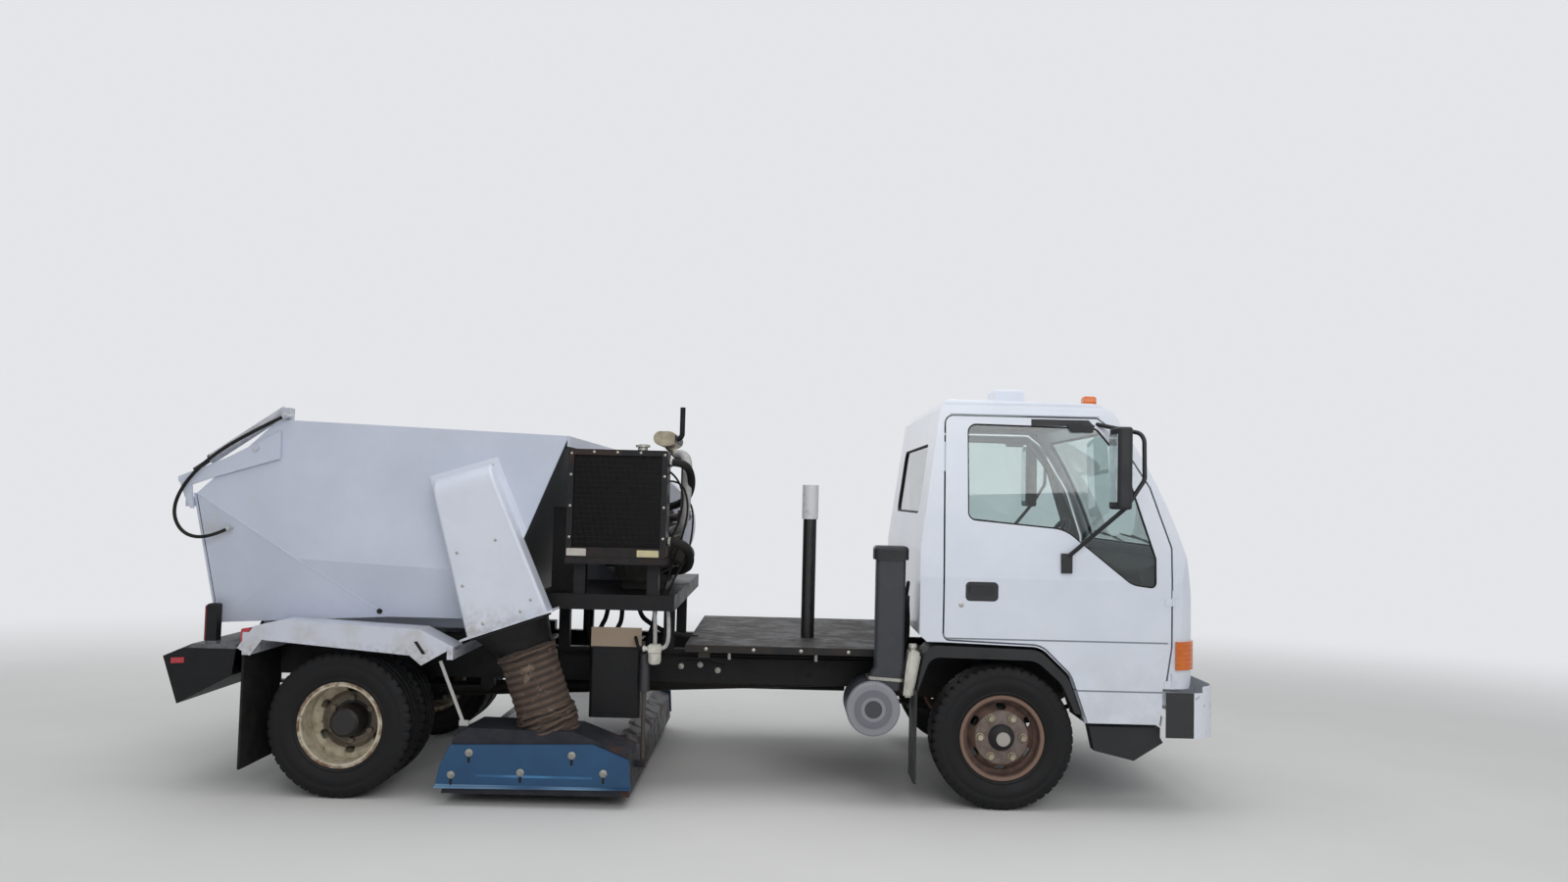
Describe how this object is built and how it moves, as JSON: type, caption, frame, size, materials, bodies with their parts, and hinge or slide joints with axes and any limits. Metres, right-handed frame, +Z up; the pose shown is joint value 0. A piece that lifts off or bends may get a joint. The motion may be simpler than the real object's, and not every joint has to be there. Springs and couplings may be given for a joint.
{
  "type": "street sweeper truck",
  "caption": "Vacuum street sweeper on a low-cab-forward truck, with a tilting cab, opening doors, steered wheels, tipping hopper, tailgate and lifting pickup head.",
  "frame": {"origin": "centre of the bounding box on the ground", "axes": "+X forward along the truck, +Y to its left, +Z up"},
  "size_m": [5.365, 2.38, 2.205],
  "materials": {
    "white_paint": "worn gloss",
    "black_paint": "worn satin",
    "blue_paint": "gloss",
    "cream_paint": "worn",
    "rusty_steel": "rusty",
    "castings": "oily",
    "stainless": "brushed",
    "tyre": "dusty",
    "rubber": "matt",
    "hose_rubber": "dusty",
    "black_plastic": "matt",
    "white_plastic": "matt",
    "amber_lens": "gloss",
    "clear_lens": "gloss",
    "red_lens": "gloss",
    "glass": "clear",
    "seat_cloth": "woven",
    "dash_plastic": "matt"
  },
  "bodies": {
    "chassis": {"frame": "black_paint", "subframe": "black_paint", "deck": "black_paint", "tanks": "black_paint", "rear_bumper": "black_paint", "radiator": "black_paint", "suction_cone": "black_paint", "front_axle": "black_paint", "rear_axle": "black_paint", "drivetrain": "castings", "aux_engine": "castings", "front_bumper": "white_paint", "rear_fenders": "white_paint", "fan_housing": "white_paint", "front_arches": "black_plastic", "air_filter": "black_plastic", "tool_post": "black_plastic", "water_bottle": "white_plastic", "mud_flaps": "rubber", "tail_lamps": "red_lens", "dump_cylinder": "stainless", "muffler": "stainless", "suction_hose": "hose_rubber"},
    "cab": {"cab_roof": "white_paint", "cab_rear": "white_paint", "cab_front": "white_paint", "cab_floor": "white_paint", "cab_glass": "glass", "seats": "seat_cloth", "dashboard": "dash_plastic", "grille": "black_plastic", "headlamps": "clear_lens", "marker_lamps": "amber_lens"},
    "door_right": {"door_right": "white_paint", "door_glass_right": "glass", "mirror_right": "black_plastic"},
    "knuckle_right": {"knuckle_right": "castings"},
    "front_wheel_right": {"front_wheel_right": "rusty_steel", "front_tyre_right": "tyre"},
    "rear_wheels_right": {"rear_wheels_right": "cream_paint", "rear_tyres_right": "tyre"},
    "door_left": {"door_left": "white_paint", "door_glass_left": "glass", "mirror_left": "black_plastic"},
    "knuckle_left": {"knuckle_left": "castings"},
    "front_wheel_left": {"front_wheel_left": "rusty_steel", "front_tyre_left": "tyre"},
    "rear_wheels_left": {"rear_wheels_left": "cream_paint", "rear_tyres_left": "tyre"},
    "hopper": {"hopper_side_right": "white_paint", "hopper_side_left": "white_paint", "hopper_roof": "white_paint", "hopper_front": "white_paint", "hopper_floor": "white_paint", "side_duct": "white_paint", "gate_cylinders": "stainless", "gate_hose": "rubber"},
    "tailgate": {"tailgate": "white_paint"},
    "pickup_head": {"pickup_head": "black_paint", "head_plates": "blue_paint"}
  },
  "joints": [
    {"name": "cab_tilt", "type": "hinge", "parent": "chassis", "child": "cab", "pos_m": [2.485, 0, 0.65], "axis": [0, 1, 0], "range_deg": [0, 45]},
    {"name": "door_right_hinge", "type": "hinge", "parent": "cab", "child": "door_right", "pos_m": [2.444, -0.957, 1.2], "axis": [0, 0, 1], "range_deg": [0, 70]},
    {"name": "door_left_hinge", "type": "hinge", "parent": "cab", "child": "door_left", "pos_m": [2.444, 0.957, 1.2], "axis": [0, 0, -1], "range_deg": [0, 70]},
    {"name": "steer_right", "type": "hinge", "parent": "chassis", "child": "knuckle_right", "pos_m": [1.5875, -0.76, 0.364], "axis": [0, 0, 1], "range_deg": [-35, 35]},
    {"name": "steer_left", "type": "hinge", "parent": "chassis", "child": "knuckle_left", "pos_m": [1.5875, 0.76, 0.364], "axis": [0, 0, 1], "range_deg": [-35, 35]},
    {"name": "spin_front_right", "type": "hinge", "parent": "knuckle_right", "child": "front_wheel_right", "pos_m": [1.5875, -0.83, 0.364], "axis": [0, 1, 0], "continuous": true},
    {"name": "spin_front_left", "type": "hinge", "parent": "knuckle_left", "child": "front_wheel_left", "pos_m": [1.5875, 0.83, 0.364], "axis": [0, 1, 0], "continuous": true},
    {"name": "spin_rear_right", "type": "hinge", "parent": "chassis", "child": "rear_wheels_right", "pos_m": [-1.7775, -0.792, 0.364], "axis": [0, 1, 0], "continuous": true},
    {"name": "spin_rear_left", "type": "hinge", "parent": "chassis", "child": "rear_wheels_left", "pos_m": [-1.7775, 0.792, 0.364], "axis": [0, 1, 0], "continuous": true},
    {"name": "hopper_dump", "type": "hinge", "parent": "chassis", "child": "hopper", "pos_m": [-2.4, 0, 0.818], "axis": [0, -1, 0], "range_deg": [0, 50]},
    {"name": "tailgate_lift", "type": "hinge", "parent": "hopper", "child": "tailgate", "pos_m": [-2.247, 0, 1.754], "axis": [0, 1, 0], "range_deg": [0, 80]},
    {"name": "head_lift", "type": "slide", "parent": "chassis", "child": "pickup_head", "axis": [0, 0, 1], "range_m": [0, 0.06], "deforming": ["suction_hose"]}
  ],
  "couplings": [
    {"joint": "steer_left", "follows": "steer_right", "ratio": 1}
  ]
}
